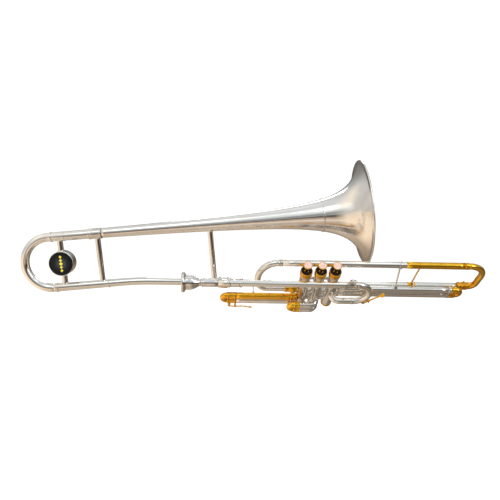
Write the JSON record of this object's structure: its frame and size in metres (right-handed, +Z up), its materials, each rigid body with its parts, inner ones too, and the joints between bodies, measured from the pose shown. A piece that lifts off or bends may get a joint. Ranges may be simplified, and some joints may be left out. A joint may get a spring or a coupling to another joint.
{
  "type": "valve trombone",
  "caption": "Tenor trombone with a piston valve section, leadpipe, tuning and valve slides, water keys, a lock-on bell section with a counterweight, and a mouthpiece.",
  "frame": {"origin": "on the axis of the bell receiver, at the lock nut, beside which the left hand holds the instrument", "axes": "+X runs along the valve section towards the bell mouth, +Z points up from the neckpipe to the bell, and the valves lean towards -Y"},
  "size_m": [0.913, 0.202, 0.3004],
  "materials": {
    "silver_plate": "silver plate, polished to a mirror",
    "gold_plate": "gold lacquered brass, polished",
    "black_face": "glossy black enamel",
    "felt": "black felt washer",
    "pearl": "mother-of-pearl button",
    "spring_steel": "spring steel wire"
  },
  "bodies": {
    "valve_section": {"mouthpiece_receiver": "silver_plate", "leadpipe": "silver_plate", "leadpipe_bow": "silver_plate", "valve_casings": "silver_plate", "top_caps": "gold_plate", "bottom_caps": "gold_plate", "cap_felts": "felt", "valve_guides": "gold_plate", "exit_bow": "silver_plate", "exit_ferrules": "gold_plate", "top_tube": "silver_plate", "first_outer_upper": "gold_plate", "first_outer_lower": "silver_plate", "second_outer": "silver_plate", "third_outer": "silver_plate", "tube_rings": "silver_plate", "hand_brace": "silver_plate", "tube_braces": "silver_plate", "lyre_socket": "silver_plate", "leadpipe_key_saddle": "gold_plate", "bell_receiver": "silver_plate", "return_tube": "silver_plate", "spring_1": "spring_steel", "spring_2": "spring_steel", "spring_3": "spring_steel"},
    "bell_section": {"bell_flare": "silver_plate", "bell_stem": "silver_plate", "bell_rim_wire": "silver_plate", "bell_ferrules": "silver_plate", "back_bow": "silver_plate", "counterweight": "silver_plate", "counterweight_face": "black_face", "counterweight_stubs": "silver_plate", "bell_braces": "silver_plate", "neckpipe": "silver_plate"},
    "lock_nut": {"bell_lock_nut": "silver_plate"},
    "mouthpiece": {"mouthpiece": "silver_plate"},
    "tuning_slide": {"tuning_upper_sleeve": "gold_plate", "tuning_lower_sleeve": "silver_plate", "tuning_bow": "gold_plate", "tuning_brace": "gold_plate"},
    "tuning_key": {"tuning_key_lever": "gold_plate"},
    "first_slide": {"first_bow": "gold_plate", "first_legs": "silver_plate"},
    "first_key": {"first_key_lever": "gold_plate"},
    "second_slide": {"second_bow": "gold_plate", "second_legs": "silver_plate"},
    "third_slide": {"third_bow": "gold_plate", "third_legs": "silver_plate"},
    "leadpipe_key": {"leadpipe_key_lever": "gold_plate"},
    "lyre_screw": {"lyre_screw": "silver_plate"},
    "valve_1": {"piston_1": "silver_plate", "button_1": "gold_plate", "pearl_1": "pearl"},
    "valve_2": {"piston_2": "silver_plate", "button_2": "gold_plate", "pearl_2": "pearl"},
    "valve_3": {"piston_3": "silver_plate", "button_3": "gold_plate", "pearl_3": "pearl"}
  },
  "joints": [
    {"name": "bell_swivel", "type": "hinge", "parent": "valve_section", "child": "bell_section", "pos_m": [0, 0, 0], "axis": [-1, 0, 0], "range_deg": [0, 35]},
    {"name": "lock_nut_turn", "type": "hinge", "parent": "bell_section", "child": "lock_nut", "pos_m": [0.005, 0, 0], "axis": [1, 0, 0], "continuous": true},
    {"name": "mouthpiece_pull", "type": "slide", "parent": "valve_section", "child": "mouthpiece", "axis": [-1, 0, 0], "range_m": [0, 0.022]},
    {"name": "tuning_slide_pull", "type": "slide", "parent": "valve_section", "child": "tuning_slide", "axis": [1, 0, 0], "range_m": [0, 0.06]},
    {"name": "first_slide_pull", "type": "slide", "parent": "valve_section", "child": "first_slide", "axis": [-1, 0, 0], "range_m": [0, 0.05]},
    {"name": "second_slide_pull", "type": "slide", "parent": "valve_section", "child": "second_slide", "axis": [-1, 0, 0], "range_m": [0, 0.012]},
    {"name": "third_slide_pull", "type": "slide", "parent": "valve_section", "child": "third_slide", "axis": [1, 0, 0], "range_m": [0, 0.06]},
    {"name": "valve_1_press", "type": "slide", "parent": "valve_section", "child": "valve_1", "axis": [0, 0.7431, -0.6691], "range_m": [0, 0.016], "stiffness_N_per_m": 120, "springref_m": -0.015, "deforming": ["spring_1"]},
    {"name": "valve_2_press", "type": "slide", "parent": "valve_section", "child": "valve_2", "axis": [0, 0.7431, -0.6691], "range_m": [0, 0.016], "stiffness_N_per_m": 120, "springref_m": -0.015, "deforming": ["spring_2"]},
    {"name": "valve_3_press", "type": "slide", "parent": "valve_section", "child": "valve_3", "axis": [0, 0.7431, -0.6691], "range_m": [0, 0.016], "stiffness_N_per_m": 120, "springref_m": -0.015, "deforming": ["spring_3"]},
    {"name": "tuning_key_press", "type": "hinge", "parent": "tuning_slide", "child": "tuning_key", "pos_m": [0.491, 0.01057, 0.00385], "axis": [0, 0.342, -0.9397], "range_deg": [0, 9], "stiffness_Nm_per_rad": 0.05, "springref_deg": -22.92},
    {"name": "first_key_press", "type": "hinge", "parent": "first_slide", "child": "first_key", "pos_m": [0.0303, 0.00439, -0.04765], "axis": [0, -1, 0], "range_deg": [0, 9], "stiffness_Nm_per_rad": 0.05, "springref_deg": -22.92},
    {"name": "leadpipe_key_press", "type": "hinge", "parent": "valve_section", "child": "leadpipe_key", "pos_m": [0.28514, -0.04567, -0.02047], "axis": [0, -0.7373, -0.6755], "range_deg": [0, 9], "stiffness_Nm_per_rad": 0.05, "springref_deg": -22.92},
    {"name": "lyre_screw_turn", "type": "hinge", "parent": "valve_section", "child": "lyre_screw", "pos_m": [0.2435, -0.08996, 0.02536], "axis": [0, -0.766, 0.6428], "continuous": true}
  ]
}
